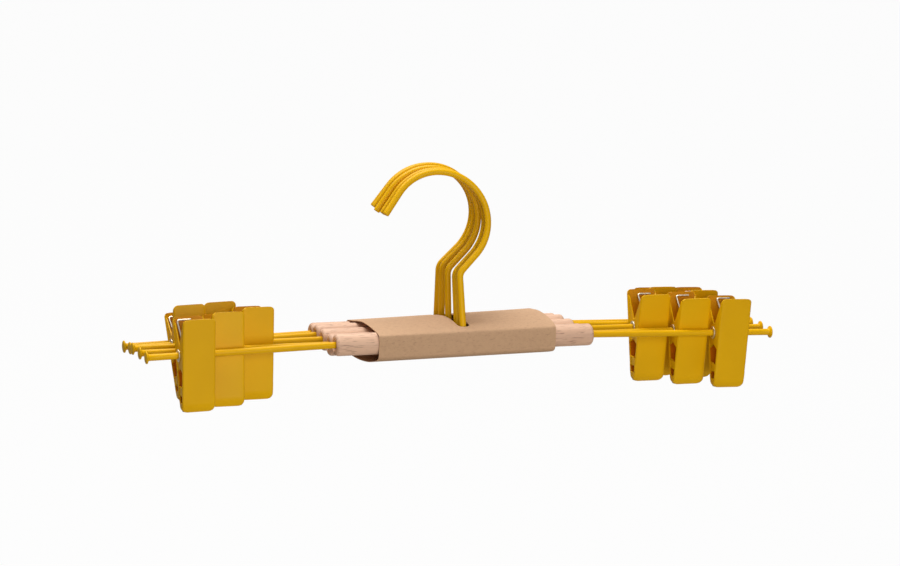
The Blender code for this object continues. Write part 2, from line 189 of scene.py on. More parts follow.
def sizes():
    return bpy.context.scene.hanger_sizes


def colours():
    return bpy.context.scene.hanger_colours


def grid_faces(rows, cols, wrap_rows=False, wrap_cols=False):
    """Quads joining a grid of points, row by row, closed round where asked."""
    r = np.arange(rows if wrap_rows else rows - 1)
    c = np.arange(cols if wrap_cols else cols - 1)
    row, col = np.meshgrid(r, c, indexing="ij")
    up = (row + 1) % rows
    over = (col + 1) % cols
    quads = [row * cols + col, row * cols + over, up * cols + over, up * cols + col]
    return np.stack(quads, axis=-1).reshape(-1, 4)


def shown(name, mesh, sharp):
    """New object for a mesh, smooth but for edges sharper than an angle in degrees."""
    ob = bpy.data.objects.new(name, mesh)
    bpy.context.scene.collection.objects.link(ob)
    mesh.shade_smooth()
    mesh.set_sharp_from_angle(angle=math.radians(sharp))
    return ob


def make_piece(name, points, faces):
    """Mesh object from points in model metres, merged, facing out, with smooth shading."""
    mesh = bpy.data.meshes.new(name)
    mesh.from_pydata(points.reshape(-1, 3).tolist(), [], faces.tolist())
    bm = bmesh.new()
    bm.from_mesh(mesh)
    bmesh.ops.remove_doubles(bm, verts=bm.verts, dist=1e-7)
    bmesh.ops.dissolve_degenerate(bm, edges=bm.edges, dist=1e-8)
    bmesh.ops.recalc_face_normals(bm, faces=bm.faces)
    bm.to_mesh(mesh)
    bm.free()
    return shown(name, mesh, WIRE_SHARP)


def to_model(points):
    """Millimetres in the stack's frame to model metres."""
    return (np.asarray(points, dtype=float) - SEAT) * 0.001


def applied(ob):
    """Mesh of an object with its modifiers done, after which the object is taken away."""
    bpy.context.view_layer.update()
    evaluated = ob.evaluated_get(bpy.context.evaluated_depsgraph_get())
    mesh = bpy.data.meshes.new_from_object(evaluated)
    bpy.data.objects.remove(ob)
    return mesh


def face_arrays(mesh):
    """Normals and centres of a mesh's faces, each as (n, 3)."""
    normal = np.zeros(len(mesh.polygons) * 3)
    mesh.polygons.foreach_get("normal", normal)
    centre = np.zeros(len(mesh.polygons) * 3)
    mesh.polygons.foreach_get("center", centre)
    return normal.reshape(-1, 3), centre.reshape(-1, 3)


def circle(n):
    """Unit circle as (n, 2): cosine and sine of equal angles."""
    a = 2 * np.pi * np.arange(n) / n
    return np.stack([np.cos(a), np.sin(a)], axis=1)


def tube(path, radius, sides, across):
    """Round wire along a path, as a grid of rings.

    At each point a circle of the radius there lies square to the path. One of its axes is the
    direction `across` less its part along the path, the other the cross product of the two.
    """
    tangent = np.gradient(path, axis=0)
    tangent /= np.linalg.norm(tangent, axis=1, keepdims=True)
    across = np.broadcast_to(np.asarray(across, dtype=float), path.shape)
    one = across - tangent * (across * tangent).sum(axis=1, keepdims=True)
    one /= np.linalg.norm(one, axis=1, keepdims=True)
    two = np.cross(one, tangent)
    ring = circle(sides)
    r = np.broadcast_to(radius, len(path))[:, None, None]
    return path[:, None] + r * (ring[None, :, :1] * one[:, None] + ring[None, :, 1:] * two[:, None])


def cut_wire(path, radius, ease, sides, across):
    """Wire with both cut ends eased in a quarter round and closed flat."""
    rings = tube(path, radius, sides, across)
    a = np.linspace(0.0, np.pi / 2, 6)[1:]
    shrink = (radius - ease * (1 - np.cos(a))) / radius
    shrink = np.append(shrink, 0.0)[:, None, None]
    reach = np.append(ease * np.sin(a), ease)[:, None, None]
    first = path[0] - path[1]
    last = path[-1] - path[-2]
    first = first / np.linalg.norm(first)
    last = last / np.linalg.norm(last)
    head = path[0] + (rings[0] - path[0])[None] * shrink + reach * first
    tail = path[-1] + (rings[-1] - path[-1])[None] * shrink + reach * last
    return np.concatenate([head[::-1], rings, tail])


def cutter(name, rings):
    """Closed tool for a cut: two rings of points joined by a wall, with both ends filled."""
    tool = make_piece(name, rings, grid_faces(2, rings.shape[1], wrap_cols=True))
    bm = bmesh.new()
    bm.from_mesh(tool.data)
    bmesh.ops.holes_fill(bm, edges=bm.edges)
    bmesh.ops.recalc_face_normals(bm, faces=bm.faces)
    bm.to_mesh(tool.data)
    bm.free()
    return tool


def cut_away(ob, tool, name, sharp):
    """The object less the tool, as a new object under this name."""
    cut = ob.modifiers.new("cut", "BOOLEAN")
    cut.operation = "DIFFERENCE"
    cut.solver = "EXACT"
    cut.object = tool
    mesh = applied(ob)
    bpy.data.objects.remove(tool)
    return shown(name, mesh, sharp)


def hook_path():
    """Stem, bent neck, round crown and straight tip in the hook's plane, as (u, w).

    The neck is the tangent from the top of the stem to the crown's circle, with a rounded bend
    between them. The crown ends at an angle in degrees, and the tip runs straight on from it.
    """
    loop_r = sizes().loop_radius
    stem_h, neck_r, crown_end, tip_run, foot_gap = 42.1, 8.0, 143.5, 16.7, 0.6
    centre = np.array([-10.78, 75.83])
    foot = sizes().rod_wire / 2 + foot_gap
    gap = centre - np.array([0.0, stem_h])
    start = math.atan2(gap[1], gap[0]) - math.asin(loop_r / np.hypot(*gap)) - np.pi / 2
    first = centre + loop_r * np.array([math.cos(start), math.sin(start)])
    along = first - np.array([0.0, stem_h])
    turn = math.acos(along[1] / np.hypot(*along))
    back = neck_r * math.tan(turn / 2)
    low = np.linspace(foot + HOOK_EASE, stem_h - back, 24)
    a = np.linspace(0, turn, 18)[1:]
    bend = np.stack([neck_r - neck_r * np.cos(a), stem_h - back + neck_r * np.sin(a)], axis=1)
    t = np.linspace(start, math.radians(crown_end), 120)
    crown = centre + loop_r * np.stack([np.cos(t), np.sin(t)], axis=1)
    way = np.array([-math.sin(t[-1]), math.cos(t[-1])])
    tip = crown[-1] + np.linspace(1.0, tip_run - HOOK_EASE, 10)[:, None] * way
    stem = np.stack([np.zeros_like(low), low], axis=1)
    neck = np.linspace(bend[-1], crown[0], 8)[1:-1]
    return np.concatenate([stem, bend, neck, crown, tip])


def turn_about(axis, degrees):
    """Matrix that turns points about X, Y or Z."""
    c, s = math.cos(math.radians(degrees)), math.sin(math.radians(degrees))
    if axis == "X":
        return np.array([[1, 0, 0], [0, c, -s], [0, s, c]])
    if axis == "Y":
        return np.array([[c, 0, s], [0, 1, 0], [-s, 0, c]])
    return np.array([[c, -s, 0], [s, c, 0], [0, 0, 1]])


def hook_turn(index):
    """How a hook stands: turned about its stem, tilted sideways, then leaning back."""
    lean, tilt, twist = HOOK_SET[index][2:]
    return turn_about("X", -lean) @ turn_about("Y", tilt) @ turn_about("Z", twist)


def rod_drop(index, x):
    """Depth of a rod's axis below its crosspiece's: none inside, then a straight fall outwards."""
    x = np.asarray(x, dtype=float)
    left, right = (math.tan(math.radians(v)) for v in ROD_FALL[index])
    past_left = np.maximum(DOWEL_X[index] - DOWEL_HALF[index] - x, 0.0)
    past_right = np.maximum(x - DOWEL_X[index] - DOWEL_HALF[index], 0.0)
    return past_left * left + past_right * right


def clip_place(name, swing):
    """Turn and place of a clip's own frame in the stack; the rivet doesn't lean."""
    letter, inset, lean = CLIPS[name][:3]
    k = HANGERS.index(letter)
    right = name.startswith("r")
    x = (ROD_HALF - inset) * (1 if right else -1)
    turn = turn_about("Y", ROD_FALL[k][1] if right else -ROD_FALL[k][0])
    if swing:
        turn = turn @ turn_about("X", -lean)
    at = np.array([x, k * PITCH, DOWEL_Z[k] - float(rod_drop(k, x))])
    return turn, at


def place_clip(points, name, swing=True):
    turn, at = clip_place(name, swing)
    return to_model(points @ turn.T + at)


# Finishes


def node(tree, kind, settings=None, **links):
    """Adds one shader node.

    Settings go by the socket's name or number or the property's name, links by the socket's
    name with _ for a space, or by _ and its number.
    """
    made = tree.nodes.new(kind)
    for key, value in (settings or {}).items():
        if isinstance(key, int) or key in made.inputs:
            made.inputs[key].default_value = value
        else:
            setattr(made, key, value)
    for key, source in links.items():
        number = key[1:]
        socket = int(number) if number.isdigit() else key.replace("_", " ")
        tree.links.new(source, made.inputs[socket])
    return made


def new_finish(name):
    """New material with a Principled surface, its tree, that shader and object coordinates."""
    mat = bpy.data.materials.new(name)
    mat.use_nodes = True
    tree = mat.node_tree
    tree.nodes.clear()
    out = tree.nodes.new("ShaderNodeOutputMaterial")
    shader = tree.nodes.new("ShaderNodeBsdfPrincipled")
    tree.links.new(shader.outputs[0], out.inputs[0])
    coords = tree.nodes.new("ShaderNodeTexCoord")
    return mat, tree, shader, coords.outputs["Object"]


def ramp(tree, source, stops):
    """Colour ramp from (position, colour) stops, fed by a value."""
    made = node(tree, "ShaderNodeValToRGB", None, Fac=source)
    band = made.color_ramp
    while len(band.elements) < len(stops):
        band.elements.new(0.5)
    for element, (at, colour) in zip(band.elements, stops):
        element.position = at
        element.color = colour
    return made.outputs["Color"]


def shade_of(colour, factor, warm=0.0):
    """A colour made darker or lighter, with its blue and green pulled down when warm."""
    red, green, blue = (c * factor for c in colour[:3])
    return (red, green * (1 - warm), blue * (1 - warm), 1.0)


def mixed_colour(tree, factor, first, second, mode="MIX"):
    """Colour mixed from two by a factor, each of the three from a socket or fixed."""
    mix = node(tree, "ShaderNodeMix", {"data_type": "RGBA", "blend_type": mode})
    # The numbers of the node's factor and of its two colours, among sockets for other data
    for socket, value in ((0, factor), (6, first), (7, second)):
        if isinstance(value, bpy.types.NodeSocket):
            tree.links.new(value, mix.inputs[socket])
        else:
            mix.inputs[socket].default_value = value
    return mix.outputs[2]


def yellow_powder_coat():
    """Polyester powder coat on steel, sprayed and baked.

    Satin, with a faint orange peel of about 1 mm and a slow drift of tone from its thickness.
    """
    mat, tree, shader, at = new_finish("yellow_powder_coat")
    base = tuple(colours().coat)
    drift = node(tree, "ShaderNodeTexNoise", {"Scale": 28.0, "Detail": 2.0}, Vector=at)
    tone = ramp(tree, drift.outputs[0],
                [(0.35, shade_of(base, 0.97, 0.02)), (0.65, shade_of(base, 1.03))])
    # Grain of the powder, 0.4 mm, too fine to show but for its sparkle
    grit = node(tree, "ShaderNodeTexNoise", {"Scale": 2500.0, "Detail": 1.0}, Vector=at)
    grained = mixed_colour(tree, 0.03, tone, grit.outputs[0], "MULTIPLY")
    # Painted shade: a clip's insides are painted deeper and redder, for yellow light bounced
    # between its walls
    inside = node(tree, "ShaderNodeAttribute", {"attribute_name": "inside"})
    painted_inner_shade = mixed_colour(tree, inside.outputs["Fac"], grained, shade_of(base, 0.8, 0.5))
    tree.links.new(painted_inner_shade, shader.inputs["Base Color"])
    # Orange peel, 1 mm across and too shallow for a shadow: it only breaks up the sheen
    peel = node(tree, "ShaderNodeTexNoise", {"Scale": 900.0, "Detail": 1.0}, Vector=at)
    rough = node(tree, "ShaderNodeMapRange", {"From Min": 0.3, "From Max": 0.7, "To Min": 0.34,
                                              "To Max": 0.44}, Value=peel.outputs[0])
    tree.links.new(rough.outputs[0], shader.inputs["Roughness"])
    shader.inputs["Specular IOR Level"].default_value = 0.13
    return mat


def sanded_beech():
    """Steamed beech dowel, sanded and left bare.

    Pale pink brown, with long soft growth lines and short dark ray flecks along the grain.
    """
    mat, tree, shader, at = new_finish("sanded_beech")
    base = tuple(colours().wood)
    # Growth bands 3 to 4 mm apart, drawn out twelve times along the dowel
    stretch = node(tree, "ShaderNodeMapping", {"Scale": (20.0, 260.0, 260.0)}, Vector=at)
    bands = node(tree, "ShaderNodeTexNoise", {"Scale": 1.0, "Detail": 5.0, "Roughness": 0.55},
                 Vector=stretch.outputs[0])
    tone = ramp(tree, bands.outputs[0],
                [(0.3, shade_of(base, 0.82, 0.06)), (0.52, base), (0.75, shade_of(base, 1.08))])
    # Ray flecks: 3 to 5 mm long and about 0.5 mm wide
    dash = node(tree, "ShaderNodeMapping", {"Scale": (150.0, 1500.0, 1500.0)}, Vector=at)
    flecks = node(tree, "ShaderNodeTexNoise", {"Scale": 1.0, "Detail": 1.0}, Vector=dash.outputs[0])
    mask = node(tree, "ShaderNodeMapRange", {"From Min": 0.60, "From Max": 0.70, "To Min": 0.0,
                                             "To Max": 0.6}, Value=flecks.outputs[0])
    flecked = mixed_colour(tree, mask.outputs[0], tone, shade_of(base, 0.34, 0.2))
    tree.links.new(flecked, shader.inputs["Base Color"])
    shader.inputs["Roughness"].default_value = 0.62
    bump = node(tree, "ShaderNodeBump", {"Strength": 0.15, "Distance": 0.0003},
                Height=bands.outputs[0])
    tree.links.new(bump.outputs[0], shader.inputs["Normal"])
    return mat


def bright_nickel():
    """Nickel plate on the spring wire and the rivets: warm grey, mirror-like, faintly drawn."""
    mat, tree, shader, at = new_finish("bright_nickel")
    shader.inputs["Base Color"].default_value = tuple(colours().nickel)
    shader.inputs["Metallic"].default_value = 1.0
    wear = node(tree, "ShaderNodeTexNoise", {"Scale": 700.0, "Detail": 2.0}, Vector=at)
    rough = node(tree, "ShaderNodeMapRange", {"To Min": 0.3, "To Max": 0.42}, Value=wear.outputs[0])
    tree.links.new(rough.outputs[0], shader.inputs["Roughness"])
    return mat


def brown_kraft():
    """Uncoated brown kraft card, pressed and folded.

    Matt, with fibres of about 1 mm, a cloudy sheet and small darker specks.
    """
    mat, tree, shader, at = new_finish("brown_kraft")
    base = tuple(colours().kraft)
    cloud = node(tree, "ShaderNodeTexNoise", {"Scale": 420.0, "Detail": 6.0, "Roughness": 0.6},
                 Vector=at)
    tone = ramp(tree, cloud.outputs[0],
                [(0.3, shade_of(base, 0.95, 0.02)), (0.5, base), (0.72, shade_of(base, 1.04))])
    lie = node(tree, "ShaderNodeMapping", {"Scale": (500.0, 1100.0, 1100.0)}, Vector=at)
    fibre = node(tree, "ShaderNodeTexNoise", {"Scale": 1.0, "Detail": 3.0, "Distortion": 0.6},
                 Vector=lie.outputs[0])
    speck = node(tree, "ShaderNodeMapRange", {"From Min": 0.55, "From Max": 0.72, "To Min": 0.0,
                                              "To Max": 0.5}, Value=fibre.outputs[0])
    specked = mixed_colour(tree, speck.outputs[0], tone, shade_of(base, 0.66, 0.08))
    tree.links.new(specked, shader.inputs["Base Color"])
    shader.inputs["Roughness"].default_value = 0.86
    bump = node(tree, "ShaderNodeBump", {"Strength": 0.2, "Distance": 0.0001},
                Height=fibre.outputs[0])
    tree.links.new(bump.outputs[0], shader.inputs["Normal"])
    return mat


def clear_vinyl_grip():
    """Soft clear vinyl pad moulded onto the jaw tips: cloudy, a little glossy."""
    mat, tree, shader, at = new_finish("clear_vinyl_grip")
    base = tuple(colours().grip)
    haze = node(tree, "ShaderNodeTexNoise", {"Scale": 500.0, "Detail": 2.0}, Vector=at)
    tone = ramp(tree, haze.outputs[0], [(0.35, shade_of(base, 0.8)), (0.7, base)])
    tree.links.new(tone, shader.inputs["Base Color"])
    shader.inputs["Roughness"].default_value = 0.3
    shader.inputs["Transmission Weight"].default_value = 0.45
    shader.inputs["IOR"].default_value = 1.47
    return mat


def finish(maker):
    """The finish that goes by its maker's name, made once."""
    return bpy.data.materials.get(maker.__name__) or maker()


def dress(ob, maker, body, nodes=()):
    """Gives a piece its finish, its body and the solids it stands for."""
    ob.data.materials.clear()
    ob.data.materials.append(finish(maker))
    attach(ob, body)
    if nodes:
        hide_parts(*nodes)
    return ob


# Jaws


def plate_out(z):
    """Distance of the plate's outer face from the mid plane: a slope that curves in at the tip."""
    into_tip = np.clip(CLIP_LOW + TIP_RUN - z, 0, None)
    return PLATE_Y0 + PLATE_SLOPE * z - TIP_CURVE * into_tip ** 2


def free_edge(z, sheet):
    """Distance of the flange's free edge from the mid plane, minus where it passes it.

    Read from the side: a full tip, a notch, a web, a tall window under a peaked roof, a round
    ear about the rivet, and a long taper to the top corner.
    """
    full = [(h, MID_GAP) for h in (CLIP_LOW, NOTCH[0], NOTCH[3], WINDOW[0], WINDOW[3])]
    # Heights at which only a narrow strip of flange, in millimetres, is left beside the plate
    strips = ((NOTCH[1], 0.6), (NOTCH[2], 0.6), (WINDOW[1], 0.8), (WINDOW[2], 0.8),
              (TAPER_TOP, 0.3), (CLIP_TOP, 0.2))
    narrow = [(h, plate_out(h) - sheet - strip) for h, strip in strips]
    angles = np.radians(np.linspace(-62, 110, 25))
    ear = [(EAR_R * math.sin(a), -EAR_R * math.cos(a)) for a in angles]
    low = sorted(full + narrow[:4])
    heights, edges = zip(*low, *ear, *narrow[4:])
    return np.interp(z, heights, edges)


def jaw_rows():
    """Heights of the rows: even ones, with more where the outline turns."""
    even = np.linspace(CLIP_LOW, CLIP_TOP, 62)
    corner_low = CLIP_LOW + CORNER_LOW * (1 - np.cos(np.linspace(0, np.pi / 2, 8)))
    corner_top = CLIP_TOP - CORNER_TOP * (1 - np.cos(np.linspace(0, np.pi / 2, 8)))
    ear = EAR_R * np.sin(np.radians(np.linspace(-62, 88, 22)))
    steps = np.array([*NOTCH, *WINDOW, TAPER_TOP])
    rows = np.unique(np.round(np.concatenate([even, corner_low, corner_top, ear, steps]), 3))
    least = 0.08
    keep = np.concatenate([[True], np.diff(rows) > least])
    return rows[keep]


def jaw_sheet(width, step):
    """Outer face of a pressed jaw on a grid of height by distance round the section.

    Each row is a flat plate, a quarter round bend and a flange on both sides. The plate narrows
    in a quarter circle at its corners. Above the notch, the inner jaw's flanges step inwards in
    a smooth S between two distances from the plate.
    """
    step_from, step_run, step_rise, bend_share = 1.5, 0.9, 0.2, 0.7
    sheet = sizes().sheet
    z = jaw_rows()
    low = np.clip((CLIP_LOW + CORNER_LOW - z) / CORNER_LOW, 0, 1)
    top = np.clip((z - (CLIP_TOP - CORNER_TOP)) / CORNER_TOP, 0, 1)
    wide = width / 2 - CORNER_LOW * (1 - np.sqrt(1 - low ** 2))
    wide = wide - CORNER_TOP * (1 - np.sqrt(1 - top ** 2))
    out = plate_out(z)
    depth = out - free_edge(z, sheet)
    bend = np.minimum(BEND_R, depth * bend_share)
    flat = np.linspace(0, 1, 6)[None, :] * (wide - bend)[:, None]
    a = np.linspace(0, np.pi / 2, 7)[None, 1:]
    bend_x = (wide - bend)[:, None] + bend[:, None] * np.sin(a)
    bend_y = bend[:, None] * (1 - np.cos(a))
    run = np.linspace(0, 1, 14)[None, 1:]
    flange_y = bend[:, None] + (depth - bend)[:, None] * run
    ease = np.clip((flange_y - step_from) / step_run, 0, 1)
    ease = ease * ease * (3 - 2 * ease) * np.clip((z - NOTCH[1]) / step_rise, 0, 1)[:, None]
    flange_x = wide[:, None] - step * ease
    xs = np.concatenate([flat, bend_x, flange_x], axis=1)
    ys = np.concatenate([np.zeros_like(flat), bend_y, flange_y], axis=1) - out[:, None]
    zs = np.broadcast_to(z[:, None], xs.shape)
    right = np.stack([xs, ys, zs], axis=-1)
    left = right[:, :0:-1] * np.array([-1.0, 1.0, 1.0])
    return np.concatenate([left, right], axis=1)


def mark_inside(mesh, width):
    """Face attribute of a jaw for painted shade: 0 outside, 1 where it looks into the clip, half in
    the handles.

    The plate's inner faces look to the mid plane and lie clear of the flanges' rims; a flange's
    inner faces look to the middle.
    """
    rim = 1.6
    normal, centre = face_arrays(mesh)
    x, _, z = centre.T
    depth = np.interp(z, [-0.005, 0.015], [1.0, 0.5])
    plate = (normal[:, 1] > 0.5) & (np.abs(x) < (width / 2 - rim) * 0.001)
    flange = normal[:, 0] * np.sign(x) < -0.5
    # The attribute tells the coat where to paint shade inside a clip
    layer = mesh.attributes.new("inside", "FLOAT", "FACE")
    layer.data.foreach_set("value", ((plate | flange) * depth).astype(np.float32))


def jaw_master(name, width, step):
    """A jaw in its own frame: sheet given its thickness, edges eased, ears bored."""
    pts = jaw_sheet(width, step)
    ob = make_piece(name, pts * 0.001, grid_faces(*pts.shape[:2]))
    # The sheet is open, so its faces are turned until the middle of the plate looks outwards
    normal, centre = face_arrays(ob.data)
    plate = np.abs(centre[:, 0]) < 0.003
    if normal[plate, 1].mean() > 0:
        ob.data.flip_normals()
    wall = ob.modifiers.new("wall", "SOLIDIFY")
    wall.thickness = sizes().sheet * 0.001
    wall.offset = -1.0
    wall.use_even_offset = True
    wall.use_quality_normals = True
    eased = ob.modifiers.new("eased", "BEVEL")
    eased.width = 0.00016
    eased.segments = 2
    eased.limit_method = "ANGLE"
    eased.angle_limit = math.radians(50)
    body = shown(name, applied(ob), JAW_SHARP)
    bore = sizes().rod_wire / 2 + RIVET_PLAY + RIVET_WALL + EAR_PLAY
    rings = np.zeros((2, 40, 3))
    rings[:, :, 0] = np.array([-20.0, 20.0])[:, None]
    rings[:, :, 1:] = circle(40) * bore
    ob = cut_away(body, cutter("bore", rings * 0.001), name, JAW_SHARP)
    done = ob.data
    mark_inside(done, width)
    bpy.data.objects.remove(ob)
    return done


def placed_copy(master, name, clip, half_turn):
    """A copy of a master mesh, in metres in the clip's frame, put where the clip stands.

    The pieces of the back half are turned half round the clip's upright axis.
    """
    mesh = master.copy()
    co = np.zeros(len(mesh.vertices) * 3)
    mesh.vertices.foreach_get("co", co)
    pts = co.reshape(-1, 3) * 1000.0
    if half_turn:
        pts = pts * np.array([-1.0, -1.0, 1.0])
    mesh.vertices.foreach_set("co", place_clip(pts, clip).ravel())
    mesh.update()
    return shown(name, mesh, JAW_SHARP)


class MESH_OT_clip_jaws(bpy.types.Operator):
    """Make the pressed front and back jaws of every clip"""

    bl_idname = "mesh.clip_jaws"
    bl_label = "Clip jaws"

    def execute(self, context):
        front = jaw_master("front", sizes().jaw_front, 0.0)
        back = jaw_master("back", sizes().jaw_back, JAW_STEP)
        for clip in CLIPS:
            for word, master in (("front", front), ("back", back)):
                ob = placed_copy(master, "clip_jaw_%s_%s" % (word, clip), clip, word == "back")
                dress(ob, yellow_powder_coat, "%s_half_%s" % (word, clip),
                      ["jaw_%s_%s" % (word, clip)])
        return {"FINISHED"}


def grip_master():
    """Ribbed pad in the jaw tip: a closed side outline pushed across the width.

    The outer side follows the plate. The inner side is a row of round ribs, each half a wave of
    a sine, that stop just short of the mid plane. The two ends are drawn in by a tenth.
    """
    half, pad_low, pad_high, end_run, end_share = 9.4, CLIP_LOW + 0.4, -30.35, 0.3, 0.9
    rib_pitch, rib_height, valley, crest = 1.15, 0.45, -0.61, -0.17
    z = np.linspace(pad_low, pad_high, 60)
    outer = -(plate_out(z) - sizes().sheet - 0.02)
    rib = rib_height * np.abs(np.sin(np.pi * (z - z[0]) / rib_pitch))
    inner = np.maximum(np.minimum(valley + rib, crest), outer + 0.05)
    loop = np.concatenate([np.stack([outer, z], 1), np.stack([inner, z], 1)[::-1]])
    x = np.array([-half, -half + end_run, half - end_run, half])
    pts = np.zeros((4, len(loop), 3))
    pts[:, :, 0] = x[:, None]
    pts[:, :, 1:] = loop[None]
    mid = loop.mean(axis=0)
    pts[[0, 3], :, 1:] = mid + (loop - mid)[None] * end_share
    faces = grid_faces(4, len(loop), wrap_cols=True).tolist()
    n = len(loop)
    faces.append(list(range(n)))
    faces.append(list(range(3 * n, 4 * n)))
    mesh = bpy.data.meshes.new("grip")
    mesh.from_pydata((pts.reshape(-1, 3) * 0.001).tolist(), [], faces)
    bm = bmesh.new()
    bm.from_mesh(mesh)
    bmesh.ops.recalc_face_normals(bm, faces=bm.faces)
    bm.to_mesh(mesh)
    bm.free()
    return mesh


class MESH_OT_clip_grips(bpy.types.Operator):
    """Make the soft grip pads inside the jaw tips"""

    bl_idname = "mesh.clip_grips"
    bl_label = "Grip pads"

    def execute(self, context):
        master = grip_master()
        for clip in CLIPS:
            for word in ("front", "back"):
                ob = placed_copy(master, "grip_%s_%s" % (word, clip), clip, word == "back")
                dress(ob, clear_vinyl_grip, "%s_half_%s" % (word, clip))
        return {"FINISHED"}


# Rivets and springs


def lathe(profile, steps):
    """A closed profile (x, radius) turned about X: each point is swept round in a circle."""
    a = 2 * np.pi * np.arange(steps) / steps
    x = np.broadcast_to(profile[:, :1], (len(profile), steps))
    y = profile[:, 1:] * np.cos(a)
    z = profile[:, 1:] * np.sin(a)
    return np.stack([x, y, z], axis=-1)


def arc(cx, cy, r, start, end, n):
    """Points of an arc in a profile, angles in degrees."""
    a = np.radians(np.linspace(start, end, n))
    return np.stack([cx + r * np.cos(a), cy + r * np.sin(a)], axis=1)


class MESH_OT_clip_rivets(bpy.types.Operator):
    """Make the hollow rivets that slide on the rods"""

    bl_idname = "mesh.clip_rivets"
    bl_label = "Hollow rivets"

    def execute(self, context):
        head_r, lip_r, roll_r, rim, fillet, seam, steps = 4.0, 0.34, 0.66, 0.2, 0.12, 0.02, 48
        inner = sizes().rod_wire / 2 + RIVET_PLAY
        outer = inner + RIVET_WALL
        near = sizes().jaw_front / 2 + EAR_PLAY
        # Half the profile: up the back of the turned head, round its lip and rolled into the tube
        back = [[near - seam, outer], [near, outer + fillet], [near, head_r - rim]]
        lip = arc(near + seam, head_r - lip_r, lip_r, 90, 0, 8)
        roll = arc(near + seam, inner + roll_r, roll_r, 0, -90, 10)
        half = np.concatenate([back, lip, roll])
        profile = np.concatenate([half, half[::-1] * np.array([-1.0, 1.0])])
        pts = lathe(profile, steps).reshape(-1, 3)
        faces = grid_faces(len(profile), steps, wrap_rows=True, wrap_cols=True)
        for clip in CLIPS:
            ob = make_piece("rivet_tube_" + clip, place_clip(pts, clip, swing=False), faces)
            dress(ob, bright_nickel, "clip_" + clip, ["rivet_" + clip])
        return {"FINISHED"}


def spring_paths(coil_x, rise):
    """Back arm with coil, and front arm with the coil's last half turn, in the clip's frame.

    The coil is a helix about X. Each arm runs straight from it to the handle, then bends along X.
    """
    turns, pitch, foot, spread, play, room = 3.5, 1.85, 9.0, 0.2, 0.4, 0.35
    r = sizes().coil_radius
    half = turns * pitch / 2
    t = np.linspace(0, 1, int(turns * TURN_POINTS) + 1)
    a = -2 * np.pi * turns * t
    coil = np.stack([coil_x - half + 2 * half * t, r * np.cos(a), r * np.sin(a)], axis=1)
    lining = sizes().sheet + sizes().coil_wire / 2
    wall = PLATE_Y0 + PLATE_SLOPE * rise - lining - room
    limit = sizes().jaw_back / 2 - JAW_STEP - lining - play
    left = max(coil[0, 0] - spread * rise, -limit)
    right = min(coil[-1, 0] + spread * rise, limit)
    back = rounded_arm(coil[0], np.array([left, wall, rise]), foot)
    front = rounded_arm(coil[-1], np.array([right, -wall, rise]), -foot)
    half_turn = coil[-2:-2 - TURN_POINTS // 2:-1]
    return np.concatenate([back, coil[1:]]), np.concatenate([front, half_turn])


def rounded_arm(root, corner, foot):
    """From the free end to the root: along X, round a bend, and down to the coil.

    The bend is a parabola that leaves both straights 1.7 mm from where they would meet.
    """
    down = root - corner
    down /= np.linalg.norm(down)
    side = np.array([np.sign(foot), 0.0, 0.0])
    t = np.linspace(0, 1, 10)[:, None]
    reach = 1.7
    bend = corner + side * reach * (1 - t) ** 2 + down * reach * t ** 2
    far = corner + side * (abs(foot) - SPRING_EASE)
    first = far + (bend[0] - far) * np.linspace(0, 1, 6)[:-1, None]
    last = bend[-1] + (root - bend[-1]) * np.linspace(0, 1, 22)[1:, None]
    return np.concatenate([first, bend, last])


class MESH_OT_clip_springs(bpy.types.Operator):
    """Make the torsion springs, each in two stretches that follow the two handles"""

    bl_idname = "mesh.clip_springs"
    bl_label = "Torsion springs"

    def execute(self, context):
        radius = sizes().coil_wire / 2
        sides, turn_from, turn_over = 14, 5.0, 8.0
        for clip in CLIPS:
            back, front = spring_paths(*CLIPS[clip][3:])
            for word, path in (("back", back), ("front", front)):
                # A ring's first axis turns from across the foot to across the coil down the arm
                blend = np.clip((path[:, 2] - turn_from) / turn_over, 0.0, 1.0)
                blend[ARM_POINTS:] = 0.0
                across = np.stack([1 - blend, blend, np.zeros_like(blend)], axis=1)
                pts = cut_wire(path, radius, SPRING_EASE, sides, across)
                faces = grid_faces(pts.shape[0], pts.shape[1], wrap_cols=True)
                ob = make_piece("spring_%s_%s" % (word, clip),
                                place_clip(pts.reshape(-1, 3), clip), faces)
                nodes = ["spring_" + clip] if word == "back" else []
                dress(ob, bright_nickel, "%s_half_%s" % (word, clip), nodes)
        return {"FINISHED"}


# Hooks, rods and crosspieces


class MESH_OT_hanger_hooks(bpy.types.Operator):
    """Make the coated wire hooks"""

    bl_idname = "mesh.hanger_hooks"
    bl_label = "Hooks"

    def execute(self, context):
        flat = hook_path()
        path = np.stack([flat[:, 0], np.zeros(len(flat)), flat[:, 1]], axis=1)
        pts = cut_wire(path, sizes().hook_wire / 2, HOOK_EASE, sizes().round_steps, (0.0, 1.0, 0.0))
        faces = grid_faces(pts.shape[0], pts.shape[1], wrap_cols=True)
        for k, letter in enumerate(HANGERS):
            at = np.array([HOOK_SET[k][0], k * PITCH, DOWEL_Z[k] + HOOK_SET[k][1]])
            stood = pts.reshape(-1, 3) @ hook_turn(k).T + at
            ob = make_piece("wire_hook_" + letter, to_model(stood), faces)
            dress(ob, yellow_powder_coat, HOLDER, ["hook_" + letter])
        return {"FINISHED"}


